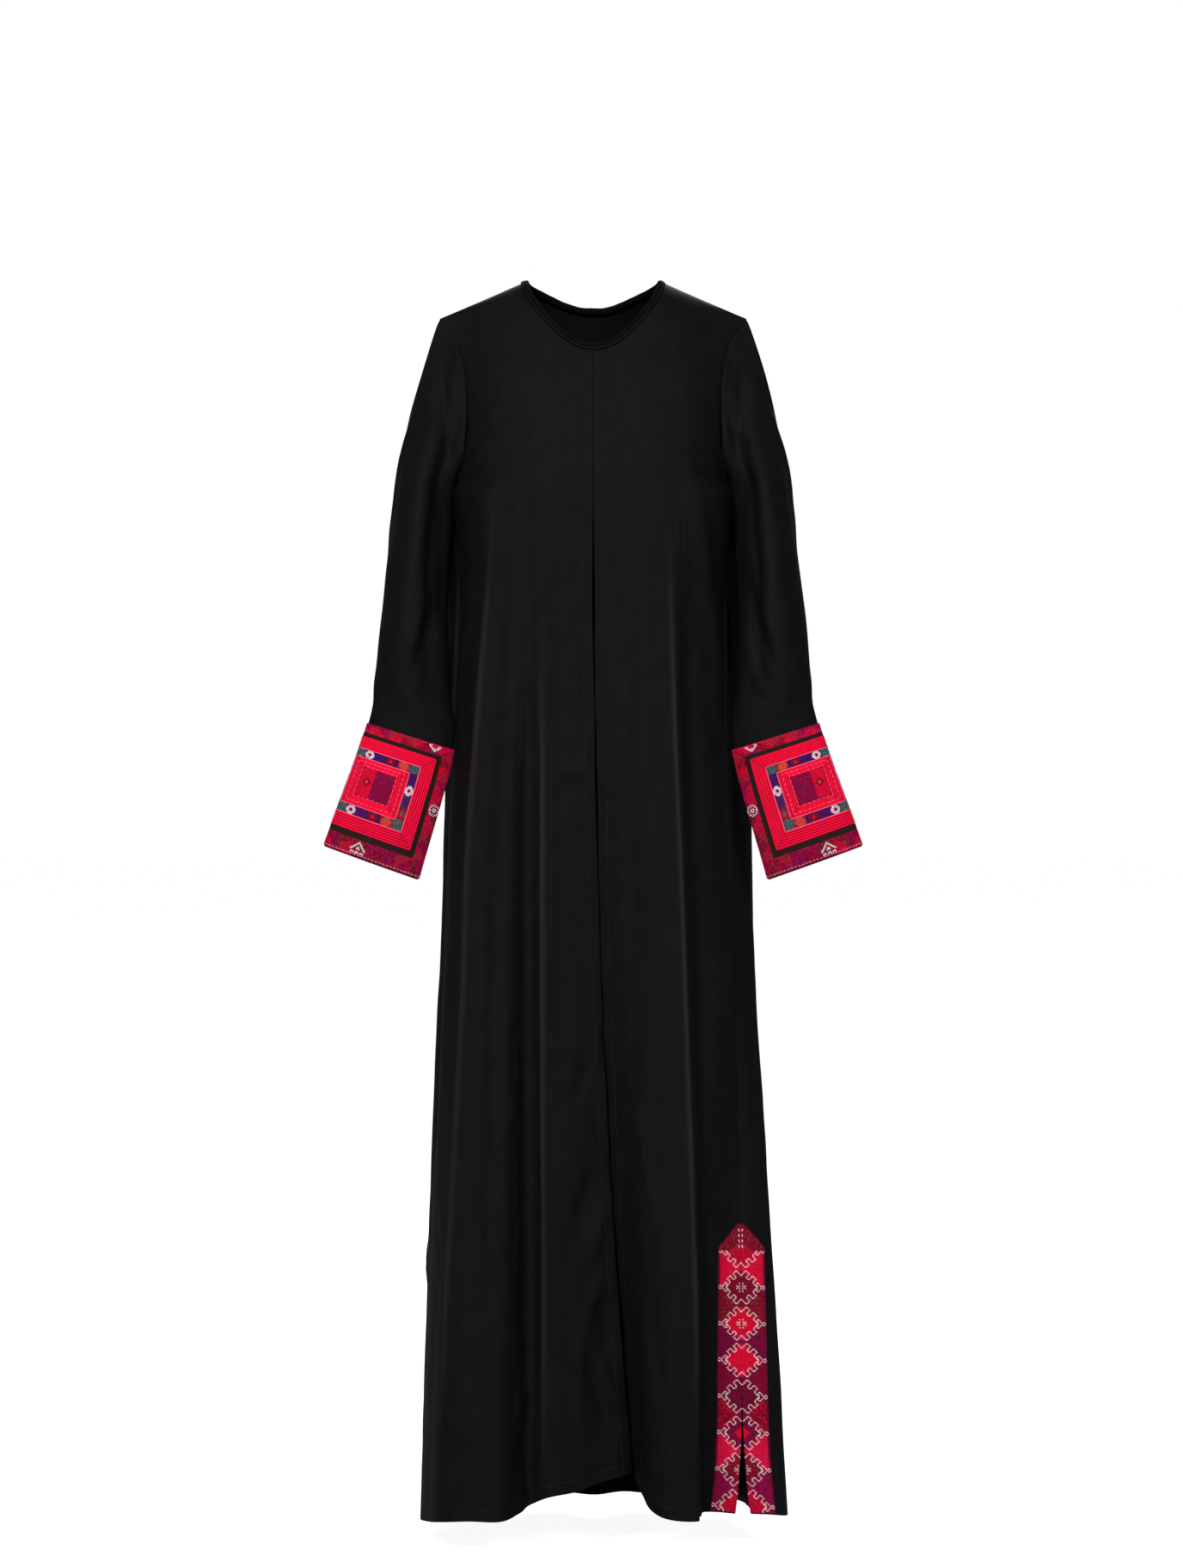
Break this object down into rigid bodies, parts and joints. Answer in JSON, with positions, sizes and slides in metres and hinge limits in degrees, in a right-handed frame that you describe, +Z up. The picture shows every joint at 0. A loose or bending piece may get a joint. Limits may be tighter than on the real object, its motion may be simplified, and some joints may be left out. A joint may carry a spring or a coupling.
{
  "type": "abaya",
  "caption": "Long black open-front abaya worn hollow on an absent figure, with embroidered squares on the cuffs and a pointed embroidered strip round the side slit.",
  "frame": {"origin": "the middle of the wearer's shoulders, between the two shoulder seams, 1.46 m above the lowest point of the front hem", "axes": "+Z up along the hanging length, +X to the wearer's left, -Y to the front"},
  "size_m": [0.6512, 0.3779, 1.5038],
  "materials": {
    "black_cloth": "soft matt crepe",
    "neck_binding": "soft matt crepe",
    "cuff_embroidery": "dense thread embroidery with a soft sheen",
    "slit_embroidery": "dense cross stitch with a soft sheen"
  },
  "bodies": {
    "root": {"front_left": "black_cloth", "front_right": "black_cloth", "back": "black_cloth", "sleeve_left": "black_cloth", "sleeve_right": "black_cloth", "neck_band": "neck_binding", "cuff_patch_left": "cuff_embroidery", "cuff_patch_right": "cuff_embroidery", "slit_strip_front": "slit_embroidery", "slit_strip_back": "slit_embroidery"}
  },
  "joints": []
}
